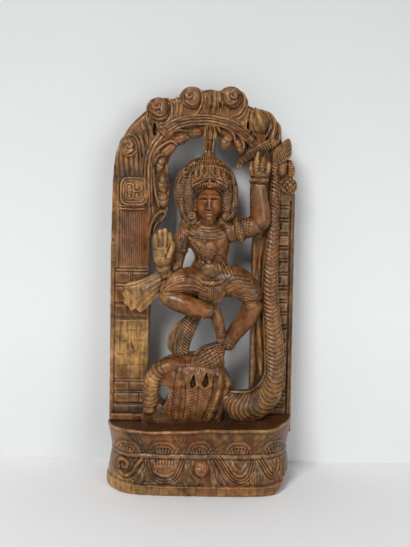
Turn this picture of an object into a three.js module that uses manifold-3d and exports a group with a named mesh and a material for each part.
// A carved wooden panel: a crowned figure dances on a many-headed serpent inside a pierced arch.
// The panel, its plinth and the figures are cut from one block, so the model is one solid.
// Units are millimetres. +Z is up, the front faces -Y, and the origin is at the middle of the underside.
// Places are written [x, z, out], where out is the distance in front of the flat back of the block.
import * as THREE from "three";
import { mergeVertices } from "three/addons/utils/BufferGeometryUtils.js";
import Module from "manifold-3d";

const wasm = await Module();
wasm.setup();

// The block
const HEIGHT = 610;
const WIDTH = 286;
const DEPTH = 112;
const BACK = DEPTH / 2;
const HALF = WIDTH / 2;

// The frame of two posts and an arch: its scrolls from right to left, and the leaves inside it
const BOARD_OUT = 44;
const BOARD_HALF = HALF - 2;
const OPENING = { left: -82, right: 78, top: { x: 3, z: 477, radius: 78 } };
const CORD = { x: 3, z: 477, radius: 83, out: 46, half: 6.5 };
const LEAVES = { from: 200, to: 24, count: 8, reach: 13 };
const SCROLLS = [
  { x: 88, z: 554, size: 22, out: 49, from: -10, to: 115 },
  { x: 39, z: 589, size: 21, out: 50, from: 15, to: 155 },
  { x: -20, z: 589, size: 20, out: 50, from: 45, to: 160 },
  { x: -68, z: 569, size: 21, out: 49, from: 60, to: 165 },
  { x: -112, z: 517, size: 20, out: 47, from: 105, to: 185 },
];
const RIM = 3.5;

// The plinth
const LEDGE = 98;
const LEDGE_RISE = 8;
const STEP = { height: 7, out: 54 };

const BARK = 0x6b4526;

const rad = THREE.MathUtils.degToRad;

/** A place in the block as a vector in the model's frame. */
function place([x, z, out]) {
  return new THREE.Vector3(x, BACK - out, z);
}

/** A closed geometry as a solid that can be joined and cut, with its faces turned outwards. */
function solid(geometry) {
  const bare = new THREE.BufferGeometry();
  bare.setAttribute("position", geometry.getAttribute("position"));
  bare.setIndex(geometry.index);
  const merged = mergeVertices(bare, 1e-4);
  const p = merged.getAttribute("position");
  const faces = new Uint32Array(merged.index.array);
  const [a, b, c] = [new THREE.Vector3(), new THREE.Vector3(), new THREE.Vector3()];
  let volume = 0;
  for (let i = 0; i < faces.length; i += 3) {
    a.fromBufferAttribute(p, faces[i]);
    b.fromBufferAttribute(p, faces[i + 1]);
    c.fromBufferAttribute(p, faces[i + 2]);
    volume += a.dot(b.cross(c));
  }
  if (volume < 0) faces.reverse();
  return new wasm.Manifold(new wasm.Mesh({ numProp: 3, vertProperties: p.array, triVerts: faces }));
}

/** The solid without the hollows that joining leaves sealed inside it. */
function filled(made) {
  return wasm.Manifold.compose(made.decompose().filter((shell) => shell.volume() > 0));
}

/** A closed skin over rings of equal length, each ring a list of vectors, with a fan over both ends. */
function skin(rings, tips = [null, null]) {
  const n = rings[0].length;
  const points = rings.flat();
  const index = [];
  for (let r = 0; r + 1 < rings.length; r++) {
    for (let i = 0; i < n; i++) {
      const [a, b] = [r * n + i, r * n + ((i + 1) % n)];
      index.push(a, b, b + n, a, b + n, a + n);
    }
  }
  [0, rings.length - 1].forEach((r, end) => {
    const ring = rings[r];
    const middle = ring.reduce((sum, v) => sum.add(v), new THREE.Vector3()).divideScalar(n);
    points.push(tips[end] ?? middle);
    const tip = points.length - 1;
    for (let i = 0; i < n; i++) {
      const [a, b] = [r * n + i, r * n + ((i + 1) % n)];
      index.push(...(end ? [a, b, tip] : [b, a, tip]));
    }
  });
  const geometry = new THREE.BufferGeometry().setFromPoints(points);
  geometry.setIndex(index);
  return geometry;
}

/** The value at share t of a list of values spread evenly from 0 to 1. */
function along(values, t) {
  const at = Math.min(t, 0.99999) * (values.length - 1);
  const i = Math.floor(at);
  return values[i] + (values[i + 1] - values[i]) * (at - i);
}

/**
 * A rounded bar along a smooth line through the places. Its half widths across the front are spread
 * along it, its half depth is depth times as much, and its ends are domed. Each ring in rings swells
 * and then steps in, as turned or scaly work does. Under 1, fold draws every other edge in to a groove.
 */
function bar(places, halves, options = {}) {
  const { depth = 1, sides = 6, steps = 4, rings = 0, notch = 0.82, twist = 0, fold = 1 } = options;
  const line = new THREE.CatmullRomCurve3(places.map(place), false, "centripetal");
  const stops = [];
  if (rings) {
    for (let i = 0; i < rings; i++) {
      stops.push([i / rings, notch], [(i + 0.85) / rings, 1]);
    }
    stops.push([1, notch]);
  } else {
    for (let i = 0; i <= steps; i++) stops.push([i / steps, 1]);
  }
  const sections = stops.map(([t, swell]) => {
    const middle = line.getPoint(t);
    const ahead = line.getTangent(t);
    const across = new THREE.Vector3(0, -1, 0).cross(ahead);
    if (across.length() < 0.15) across.set(1, 0, 0);
    across.normalize();
    const up = ahead.clone().cross(across).normalize();
    const half = along(halves, t) * swell;
    return Array.from({ length: sides }, (_, i) => {
      const angle = ((i + 0.5) / sides) * 2 * Math.PI + twist;
      const reach = half * (i % 2 ? fold : 1);
      return middle
        .clone()
        .addScaledVector(across, reach * Math.cos(angle))
        .addScaledVector(up, reach * depth * Math.sin(angle));
    });
  });
  const tips = [0, 1].map((t) => {
    const dome = along(halves, t) * (t ? 0.45 : -0.45);
    return line.getPoint(t).addScaledVector(line.getTangent(t), dome);
  });
  return solid(skin(sections, tips));
}

/** An egg of the given half sizes across, up and out, leaning by lean degrees in the front view. */
function egg([x, z, out], [across, high, deep], { lean = 0, around = 8, down = 4 } = {}) {
  const shape = new THREE.SphereGeometry(1, around, down);
  shape.scale(across, deep, high).rotateY(-rad(lean));
  const at = place([x, z, out]);
  return solid(shape.translate(at.x, at.y, at.z));
}

/** A flat plate cut to a shape drawn as seen from the front, between two distances out of the back. */
function plate(shape, from, to, curveSegments = 12) {
  const cut = new THREE.ExtrudeGeometry(shape, { depth: to - from, bevelEnabled: false, curveSegments });
  return solid(cut.rotateX(Math.PI / 2).translate(0, BACK - from, 0));
}

/** A plain block between two corners [x, z, out]. */
function block([x0, z0, out0], [x1, z1, out1]) {
  const box = new THREE.BoxGeometry(x1 - x0, out1 - out0, z1 - z0);
  return solid(box.translate((x0 + x1) / 2, BACK - (out0 + out1) / 2, (z0 + z1) / 2));
}

/** A place at an angle and a radius round a centre in the front view. */
function polar({ x, z }, radius, degrees, out) {
  return [x + radius * Math.cos(rad(degrees)), z + radius * Math.sin(rad(degrees)), out];
}

/** The plan of the plinth: a block whose front corners are cut away in a soft slant. */
function plinthPlan(inset, z) {
  const half = HALF - inset * 0.45;
  const front = DEPTH - inset;
  const turn = [
    [1, 0],
    [1, 0.47],
    [0.9, 0.76],
    [0.71, 0.96],
    [0.3, 1],
  ];
  const right = turn.map(([across, out]) => [half * across, z, front * out]);
  const left = right.map(([x, , out]) => [-x, z, out]).reverse();
  return [...right, ...left].map(place);
}

/** The plinth: heights and insets from the underside to the ledge, which rises a little to the right. */
function plinth() {
  const profile = [
    [0, 0],
    [15, 0],
    [17, 3],
    [36, 8],
    [50, 15],
    [52, 11],
    [58, 11],
    [60, 16],
    [78, 8],
    [87, 5],
    [88, 1],
    [LEDGE, 3],
  ];
  const rings = profile.map(([z, inset]) =>
    plinthPlan(inset, z).map((v) => v.setZ(z + ((z / LEDGE) ** 2 * LEDGE_RISE * v.x) / WIDTH)),
  );
  return solid(skin(rings));
}

/** How far the plinth's face stands out at x, for work laid on it. */
function plinthFace(x, inset) {
  const share = Math.abs(x) / (HALF - inset * 0.45);
  const front = DEPTH - inset;
  if (share < 0.3) return front;
  if (share < 0.71) return front * (1 - ((share - 0.3) / 0.41) * 0.04);
  if (share < 0.9) return front * (0.96 - ((share - 0.71) / 0.19) * 0.2);
  return front * (0.76 - ((share - 0.9) / 0.1) * 0.29);
}

/** Lotus petals in two rows: hoods that open down from the ledge, and cups that open up from the foot. */
function petals() {
  const rows = [
    { centres: [-111, -61, -1, 62, 111], half: 27, low: 61, high: 86, inset: [15, 5], shut: 1 },
    { centres: [-112, -51, 64, 113], half: 29, low: 17, high: 50, inset: [2, 14], shut: 0 },
  ];
  const outline = [
    [-1, 0],
    [-0.96, 0.5],
    [-0.62, 0.88],
    [0, 1],
    [0.62, 0.88],
    [0.96, 0.5],
    [1, 0],
  ];
  return rows.flatMap(({ centres, half, low, high, inset, shut }) =>
    centres.map((x) => {
      const reach = Math.abs(x) > 100 ? half * 0.6 : half;
      const ring = (share, lift) =>
        outline.map(([side, rise]) => {
          const up = shut ? rise * share : 1 - rise * share;
          const at = x + side * reach * share;
          return place([at, low + (high - low) * up, plinthFace(at, along(inset, up)) + lift]);
        });
      return solid(skin([ring(1, -9), ring(1, 2), ring(0.6, 4.5)]));
    }),
  );
}

/** The bud between the two lower cups. */
function bud() {
  return egg([4, 33, DEPTH - 8], [12, 16, 7]);
}

/** The outer edge of the board: straight posts, and an arch whose edge swells round each scroll. */
function boardEdge() {
  const edge = new THREE.Shape();
  edge.moveTo(BOARD_HALF, LEDGE - 20);
  edge.lineTo(BOARD_HALF - 1, 447);
  edge.lineTo(124, 500);
  edge.lineTo(118, 532);
  SCROLLS.forEach(({ x, z, size, from, to }, i) => {
    if (i === SCROLLS.length - 1) edge.lineTo(-98, 566);
    edge.absarc(x, z, size, rad(from), rad(to));
  });
  edge.lineTo(2 - BOARD_HALF, 465);
  edge.lineTo(-BOARD_HALF, 358);
  edge.lineTo(-BOARD_HALF, LEDGE - 20);
  return edge;
}

/** The way through the board: straight between the posts, with leaf tips all round the arch. */
function way() {
  const path = new THREE.Path();
  path.moveTo(OPENING.right, LEDGE + 1);
  path.lineTo(OPENING.left, LEDGE + 1);
  path.lineTo(OPENING.left, 398);
  const tips = LEAVES.count;
  for (let i = 0; i < tips; i++) {
    const [here, there] = [i, i + 1].map((n) => LEAVES.from + ((LEAVES.to - LEAVES.from) * n) / tips);
    const tip = polar(OPENING.top, OPENING.top.radius - 2 * LEAVES.reach, (here + there) / 2, 0);
    const end = polar(OPENING.top, OPENING.top.radius, there, 0);
    if (!i) path.lineTo(...polar(OPENING.top, OPENING.top.radius, here, 0).slice(0, 2));
    path.quadraticCurveTo(tip[0], tip[1], end[0], end[1]);
  }
  path.lineTo(OPENING.right, 420);
  return path;
}

/** The pierced board: two posts under a round arch, with a raised rim and a step at its foot. */
function board() {
  const outline = boardEdge();
  outline.holes.push(way());
  const rims = [-1, 1].map((side) => {
    const [outer, inner] = [side * BOARD_HALF, side * (BOARD_HALF - RIM)];
    return block([Math.min(outer, inner), LEDGE, 30], [Math.max(outer, inner), 438, BOARD_OUT + 2.5]);
  });
  const steps = [
    [1 - BOARD_HALF, OPENING.left],
    [OPENING.right, BOARD_HALF - 1],
  ].map(([from, to]) => block([from, LEDGE - 20, 1], [to, LEDGE + STEP.height, STEP.out]));
  return [plate(outline, 0, BOARD_OUT, 3), ...rims, ...steps];
}

/** The fluted cord that lines the arch, with a collar on each shoulder. */
function archCord() {
  const places = [];
  for (let angle = 200; angle >= 24; angle -= 22) {
    places.push(polar(CORD, CORD.radius, angle, CORD.out));
  }
  const cord = bar(places, [6, CORD.half, CORD.half, 6], { sides: 8, steps: 12, fold: 0.8, depth: 0.8 });
  const collars = [136, 36].map((angle) => {
    const [near, far] = [-10, 10].map((r) => polar(CORD, CORD.radius + r, angle, 51));
    return bar([near, far], [4.5, 4.5], { sides: 4, steps: 1 });
  });
  return [cord, ...collars];
}

/** The cloud scrolls that crown the arch: a band that rises beside the cord and curls in to an eye. */
function scrolls() {
  return SCROLLS.flatMap(({ x, z, size, out }) => {
    const places = [];
    for (let turn = -70; turn <= 335; turn += 45) {
      const inward = (turn + 70) / 405;
      places.push(polar({ x, z }, size * (0.84 - 0.5 * inward), turn, out + 5 * inward));
    }
    const band = bar(places, [size * 0.16, size * 0.2, size * 0.2, size * 0.17], {
      sides: 4,
      steps: 8,
      depth: 2.3,
    });
    const eye = egg([x, z, out], [size * 0.3, size * 0.3, 11], { around: 5 });
    return [band, eye];
  });
}

/** Leaf strands that rise from the cord between the scrolls, each leaning with the arch. */
function strands() {
  const feet = [
    { angle: 174, reach: 36, lean: -8 },
    { angle: 141, reach: 40, lean: -2 },
    { angle: 117, reach: 34, lean: 4 },
    { angle: 86, reach: 34, lean: 2 },
    { angle: 60, reach: 30, lean: -4 },
  ];
  return feet.map(({ angle, reach, lean }) => {
    const places = [0, 0.5, 1].map((s) =>
      polar(CORD, CORD.radius + 10 + reach * s, angle + lean * s, 44 + 5 * s),
    );
    return bar(places, [9, 8, 4], { sides: 8, steps: 2, fold: 0.7 });
  });
}

/** A raised vein on each leaf that hangs inside the arch, and the leaves down the left post. */
function leaves() {
  const veins = [];
  for (let i = 0; i < LEAVES.count; i++) {
    const angle = LEAVES.from + ((LEAVES.to - LEAVES.from) * (i + 0.5)) / LEAVES.count;
    const [root, tip] = [-4, 4 - LEAVES.reach].map((r) => polar(OPENING.top, OPENING.top.radius + r, angle, 44));
    veins.push(bar([root, tip], [5, 4], { sides: 4, steps: 1 }));
  }
  const low = [428, 406].map((z) => egg([-77, z, 33], [13, 9, 14], { around: 6 }));
  return [...veins, ...low];
}

/** The raised flower medallion on the left shoulder: a square with soft corners and four petals. */
function medallion() {
  const [x, z, half, soft] = [-106, 449, 21.5, 8];
  const shape = new THREE.Shape();
  shape.moveTo(x - half, z);
  [
    [-1, 1],
    [1, 1],
    [1, -1],
    [-1, -1],
  ].forEach(([right, up], i) => {
    const corner = [x + right * half, z + up * half];
    const before = i % 2 ? [corner[0] - right * soft, corner[1]] : [corner[0], corner[1] - up * soft];
    const after = i % 2 ? [corner[0], corner[1] - up * soft] : [corner[0] - right * soft, corner[1]];
    shape.lineTo(...before);
    shape.lineTo(...after);
  });
  shape.closePath();
  const flower = [45, 135, 225, 315].map((angle) => {
    const at = polar({ x, z }, 10.5, angle, 51);
    return egg(at, [8.5, 6, 5], { lean: angle, around: 4 });
  });
  return [plate(shape, 30, 51.5), ...flower];
}

/** Brick-like panels and flutes cut on the posts, shown as raised fields between the cuts. */
function postWork() {
  const out = BOARD_OUT + 1.6;
  const fields = [];
  const rows = 7;
  for (let i = 0; i < rows; i++) {
    const z = 214 + i * 32;
    const x = 121 - i * 0.5;
    fields.push(block([x, z, 38], [x + 13, z + 24, out]));
  }
  fields.push(block([-135, 306, 38], [-110, 327, out]));
  fields.push(block([-135, 280, 38], [-114, 302, out]));
  fields.push(block([-135, 255, 38], [-104, 274, out]));
  fields.push(block([-135, 186, 38], [-86, 249, out]));
  fields.push(block([-135, 112, 38], [-86, 133, out]));
  for (let i = 0; i < 3; i++) {
    const x = -129 + i * 13;
    const flute = [338, 422].map((z) => [x, z, 41]);
    fields.push(bar(flute, [5, 5], { sides: 4, steps: 1 }));
  }
  return fields;
}

/** The serpent's long body: up the right post, thick at the foot, and round to the heads, scale by scale. */
function serpentBody() {
  const rise = [
    [34, 132, 58],
    [56, 126, 60],
    [80, 127, 60],
    [101, 142, 57],
    [113, 170, 54],
    [112, 210, 52],
    [109, 245, 51],
    [105, 285, 50],
    [104, 330, 49],
    [107, 385, 48],
    [109, 445, 47],
    [109, 492, 48],
  ];
  const belly = bar(rise, [17, 22, 23, 20, 16, 14.5, 13.5, 12.5, 12, 9, 7, 5.5], {
    sides: 6,
    rings: 20,
    notch: 0.86,
    depth: 0.95,
  });
  const flank = bar(
    [
      [60, 146, 44],
      [82, 152, 42],
      [93, 172, 40],
      [91, 215, 40],
      [88, 285, 40],
      [88, 345, 40],
      [97, 392, 40],
    ],
    [8, 9, 9, 8, 7, 6, 5],
    { sides: 5, steps: 6 },
  );
  return [belly, flank];
}

/** The serpent's tail, drawn through the raised hand, with its crest, leaf and flower tassel. */
function serpentTail() {
  const tail = bar(
    [
      [108, 490, 50],
      [107, 508, 56],
      [94, 519, 60],
      [70, 505, 62],
      [46, 486, 58],
    ],
    [6, 8, 8, 7, 3.5],
    { sides: 6, rings: 6, notch: 0.8 },
  );
  const crest = new THREE.Shape();
  [
    [108, 497],
    [110, 516],
    [125, 528],
    [132, 519],
    [131, 503],
    [121, 496],
  ].forEach(([x, z], i) => (i ? crest.lineTo(x, z) : crest.moveTo(x, z)));
  const blades = [-1, 1].map((i) =>
    bar(
      [
        [121 + 3 * i, 500, 50],
        [125 + 7 * i, 474, 52],
      ],
      [5, 5.4],
      { sides: 4, steps: 1 },
    ),
  );
  const blossom = egg([129, 463, 50], [12, 9, 8]);
  return [tail, plate(crest, 30, 57), ...blades, blossom];
}

/** The serpent's heads: a fan of necks that arches over the ledge, the left one free and ringed. */
function serpentHeads() {
  const feet = [-50, -31, -13, 3, 17];
  const crowns = [-52, -28, -8, 10, 35];
  const levels = [
    { z: LEDGE - 4, share: 0, back: 30, out: 78 },
    { z: 128, share: 0.3, back: 30, out: 88 },
    { z: 160, share: 0.7, back: 32, out: 88 },
    { z: 186, share: 1, back: 34, out: 82 },
    { z: 200, share: 1, back: 44, out: 66 },
  ];
  const rings = levels.map(({ z, share, back, out }, level) => {
    const spread = level === levels.length - 1 ? 0.75 : 1;
    const valleys = feet.map((foot, i) => (foot + (crowns[i] - foot) * share) * spread);
    const droop = (x) => z - 14 * share ** 3 * ((x + 4) / 44) ** 2;
    const front = valleys.slice(1).flatMap((right, i) => {
      const crest = [0.3, 0.7].map((at) => [valleys[i] + at * (right - valleys[i]), out]);
      return [[valleys[i], out - 6], ...crest];
    });
    const [left, right] = [valleys[0], valleys[valleys.length - 1]];
    const plan = [...front, [right, out - 6], [right, back], [left, back]];
    return plan.map(([x, reach]) => place([x, droop(x), reach]));
  });
  const slits = [-8, 10].map((x) => egg([x, 170, 92], [3, 13, 14], { around: 4 }));
  const fan = slits.reduce((made, slit) => made.subtract(slit), solid(skin(rings)));
  const free = bar(
    [
      [-20, 186, 70],
      [-44, 187, 76],
      [-64, 174, 78],
      [-74, 150, 78],
      [-75, 119, 74],
    ],
    [8, 10.5, 11, 10.5, 9.5],
    { sides: 6, rings: 8, notch: 0.84 },
  );
  const right = bar(
    [
      [8, 190, 72],
      [32, 182, 78],
      [40, 160, 80],
      [36, 132, 82],
      [18, LEDGE + 3, 80],
    ],
    [8, 9.5, 9, 8, 7],
    { sides: 5, steps: 5 },
  );
  const bank = egg([-64, 106, 56], [24, 21, 24], { around: 6 });
  return [fan, free, right, bank];
}

/** The trunk of the figure: hips, a narrow waist, a round belly and a broad chest. */
function trunk() {
  const core = bar(
    [
      [14, 292, 46],
      [13, 312, 46],
      [12, 330, 48],
      [13, 348, 49],
      [12, 366, 51],
      [8, 388, 50],
      [8, 403, 52],
    ],
    [28, 36, 33, 25, 30, 39, 15],
    { sides: 8, steps: 7, depth: 0.66 },
  );
  const belly = egg([14, 328, 59], [21, 18, 15], { around: 8, down: 5 });
  const neck = bar(
    [
      [9, 392, 54],
      [9, 412, 56],
    ],
    [12, 11],
    { sides: 6, steps: 1 },
  );
  return [core, belly, neck];
}

/** The head: an egg with brows, eyes, nose and lips. */
function head() {
  const face = egg([9, 431, 62], [19.5, 26, 23], { around: 12, down: 6 });
  const brows = [-1, 1].map((side) =>
    bar(
      [
        [9 + side * 2.5, 438, 82],
        [9 + side * 9, 441.5, 80],
        [9 + side * 15, 438, 73],
      ],
      [1.3, 1.8, 1.1],
      { sides: 4, steps: 2 },
    ),
  );
  const eyes = [-1, 1].map((side) =>
    egg([9 + side * 8.2, 433, 78], [4.8, 2.4, 4], { around: 4 }),
  );
  const nose = bar(
    [
      [9, 440, 80],
      [9, 424, 85],
    ],
    [1.8, 3.4],
    { sides: 4, steps: 1 },
  );
  const lips = egg([9, 417, 80], [5.6, 2.6, 4], { around: 4 });
  return [face, ...brows, ...eyes, nose, lips];
}

/** The headdress: a wide halo of hair, an inner dome, a crown band, a jewel, and a finial to the arch. */
function headdress() {
  const halo = egg([3.5, 452, 44], [49, 52, 19], { around: 14 });
  const dome = egg([8, 464, 54], [29, 32, 23], { around: 10 });
  const locks = [-1, 1].map((side) =>
    bar(
      [
        [8 + side * 21, 456, 60],
        [8 + side * 29, 434, 58],
        [8 + side * 28, 408, 54],
      ],
      [6, 10, 9],
      { sides: 6, steps: 3, fold: 0.8 },
    ),
  );
  const band = bar(
    [
      [-11, 449, 70],
      [-2, 453, 79],
      [9, 454, 82],
      [20, 453, 79],
      [29, 449, 70],
    ],
    [3, 3.6, 3.6, 3.6, 3],
    { sides: 4, steps: 3 },
  );
  const jewel = egg([9, 464, 76], [7, 10, 6], { around: 6 });
  const finial = new THREE.LatheGeometry(
    [
      [0, 486],
      [22, 486],
      [10, 507],
      [6, 514],
      [12, 528],
      [9, 540],
      [0, 551],
    ].map(([r, z]) => new THREE.Vector2(r, z)),
    7,
  );
  const at = place([7, 0, 46]);
  const spire = solid(finial.rotateX(Math.PI / 2).scale(1, 0.9, 1).translate(at.x, at.y, 0));
  const drops = [-20, 36].map((x) => egg([x, 414, 66], [5, 6, 7], { around: 5 }));
  return [halo, dome, ...locks, band, jewel, spire, ...drops];
}

/** A hand: a palm and its fingers, each given by its root, its tip and its half width. */
function hand(palm, fingers) {
  const digits = fingers.map(([root, tip, half]) =>
    bar([root, tip], [half, half * 0.7], { sides: 4, steps: 1 }),
  );
  return [palm, ...digits];
}

/** The arms: one bent up with an open palm, the other raised to hold the tail. */
function arms() {
  const lowered = bar(
    [
      [-26, 388, 52],
      [-37, 364, 50],
      [-40, 340, 50],
      [-44, 318, 52],
    ],
    [13, 14, 11, 9],
    { steps: 4 },
  );
  const forearm = bar(
    [
      [-44, 318, 52],
      [-54, 324, 62],
      [-60, 336, 70],
    ],
    [10, 9.5, 9],
    { steps: 2 },
  );
  const open = hand(
    egg([-59, 352, 74], [15, 20, 7], { around: 7 }),
    [
      [0, 385],
      [1, 391],
      [2, 393],
      [3, 388],
    ]
      .map(([i, top]) => [[-70 + 7 * i, 364, 75], [-69.5 + 7 * i, top, 72], 4.3])
      .concat([[[-50, 350, 77], [-43, 370, 77], 3.8]]),
  );
  const upper = bar(
    [
      [36, 386, 52],
      [60, 394, 55],
      [86, 400, 58],
    ],
    [16, 17, 15],
    { steps: 3 },
  );
  const raised = bar(
    [
      [87, 400, 58],
      [85, 420, 58],
      [82, 442, 60],
      [82, 463, 62],
    ],
    [15, 15.5, 13, 10],
    { steps: 3 },
  );
  const holding = hand(
    egg([83, 474, 62], [13, 14, 10], { around: 6 }),
    [
      [[74, 478, 64], [70, 492, 64], 4],
      [[80, 480, 66], [79, 503, 68], 4],
      [[87, 480, 66], [88, 498, 68], 4],
      [[93, 476, 64], [97, 488, 64], 4],
    ],
  );
  return [lowered, forearm, ...open, upper, raised, ...holding];
}

/** The legs: the left knee lifted with its shin across the body, the right bent to stand. */
function legs() {
  const liftedThigh = bar(
    [
      [16, 310, 52],
      [-12, 312, 56],
      [-36, 308, 60],
      [-54, 296, 63],
    ],
    [22, 24, 21, 15],
    { sides: 8, steps: 3, depth: 0.85, fold: 0.93 },
  );
  const shin = bar(
    [
      [-54, 288, 66],
      [-28, 280, 71],
      [0, 271, 73],
      [18, 269, 72],
    ],
    [13, 15.5, 13.5, 10],
    { steps: 4 },
  );
  const foot = bar(
    [
      [18, 274, 70],
      [26, 251, 70],
      [30, 232, 66],
      [31, 216, 62],
    ],
    [10, 8.5, 8, 7],
    { steps: 3 },
  );
  const thigh = bar(
    [
      [16, 311, 50],
      [45, 314, 54],
      [66, 304, 58],
      [79, 287, 60],
    ],
    [22, 25, 22, 16.5],
    { sides: 8, steps: 3, depth: 0.85, fold: 0.93 },
  );
  const calf = bar(
    [
      [78, 282, 60],
      [71, 262, 59],
      [52, 236, 58],
      [37, 214, 58],
    ],
    [15, 14, 13, 10],
    { steps: 4 },
  );
  const standing = bar(
    [
      [38, 214, 58],
      [29, 204, 66],
      [10, 201, 72],
      [-6, 198, 74],
    ],
    [11, 13, 12, 8],
    { steps: 3 },
  );
  return [liftedThigh, shin, foot, thigh, calf, standing];
}

/** The dhoti: a girdle, and pleats that hang from it between the thighs. */
function dhoti() {
  const pleats = [-14, 0, 14].map((x) =>
    bar(
      [
        [12 + x * 0.5, 308, 68],
        [12 + x * 0.9, 298, 75],
        [12 + x * 1.3, 284, 76],
      ],
      [3, 5, 4.4],
      { sides: 4, steps: 2, twist: Math.PI / 4 },
    ),
  );
  const girdle = bar(
    [
      [-27, 330, 54],
      [-6, 315, 69],
      [14, 310, 74],
      [32, 315, 69],
      [50, 331, 54],
    ],
    [4, 4.4, 4.6, 4.4, 4],
    { sides: 4, steps: 5 },
  );
  return [...pleats, girdle];
}

/** The cloths: a sash end that drops to the heads, and a scarf that flies out to the left post. */
function cloths() {
  const sash = bar(
    [
      [-5, 262, 52],
      [-26, 238, 52],
      [-33, 216, 52],
      [-31, 198, 52],
      [-26, 180, 54],
    ],
    [10, 14, 15.5, 14, 12],
    { sides: 8, steps: 5, depth: 0.6, fold: 0.8 },
  );
  const scarf = bar(
    [
      [-40, 328, 56],
      [-66, 306, 58],
      [-88, 286, 54],
      [-101, 271, 49],
    ],
    [10, 16, 21, 22],
    { sides: 8, steps: 4, depth: 0.5, fold: 0.8 },
  );
  return [sash, scarf];
}

/** The jewellery: collars, a fan-shaped breast ornament, armlets, bracelets and anklets. */
function jewellery() {
  const collar = (drop, reach, out) =>
    bar(
      [
        [9 - reach, 398 - drop * 0.3, out - 8],
        [9 - reach * 0.6, 394 - drop * 0.8, out],
        [9, 391 - drop, out + 3],
        [9 + reach * 0.6, 394 - drop * 0.8, out],
        [9 + reach, 398 - drop * 0.3, out - 8],
      ],
      [2.4, 2.8, 3, 2.8, 2.4],
      { sides: 4, steps: 4 },
    );
  const breast = egg([10, 372, 66], [22, 15, 7], { around: 7 });
  const cuff = (from, to, half) => bar([from, to], [half, half], { steps: 1 });
  return [
    collar(0, 22, 66),
    collar(9, 34, 68),
    breast,
    cuff([52, 391, 54], [60, 394, 55], 19.5),
    cuff([82, 455, 61], [82, 462, 61], 12.5),
    cuff([-57, 331, 67], [-59, 336, 69], 11.5),
    cuff([41, 223, 58], [36, 217, 58], 13),
    cuff([28, 231, 66], [29, 225, 65], 10),
  ];
}

/** Everything joined, trimmed flat at the back and the underside of the block. */
function carving() {
  const solids = [
    plinth(),
    ...petals(),
    bud(),
    ...board(),
    ...archCord(),
    ...scrolls(),
    ...strands(),
    ...leaves(),
    ...medallion(),
    ...postWork(),
    ...serpentBody(),
    ...serpentTail(),
    ...serpentHeads(),
    ...trunk(),
    ...head(),
    ...headdress(),
    ...arms(),
    ...legs(),
    ...dhoti(),
    ...cloths(),
    ...jewellery(),
  ];
  const whole = wasm.Manifold.union(solids);
  return filled(whole.intersect(block([-HALF, 0, 0], [HALF, HEIGHT, DEPTH])));
}

/** The solid's surface as a geometry. */
function surface(made) {
  const mesh = made.getMesh();
  const geometry = new THREE.BufferGeometry();
  geometry.setAttribute("position", new THREE.BufferAttribute(mesh.vertProperties, 3));
  geometry.setIndex(new THREE.BufferAttribute(mesh.triVerts, 1));
  return geometry;
}

const wood = new THREE.MeshStandardMaterial({ color: BARK, roughness: 0.55, metalness: 0 });
const panel = new THREE.Mesh(surface(carving()), wood);
panel.name = "carved_panel";

const group = new THREE.Group();
group.add(panel);
export default group;
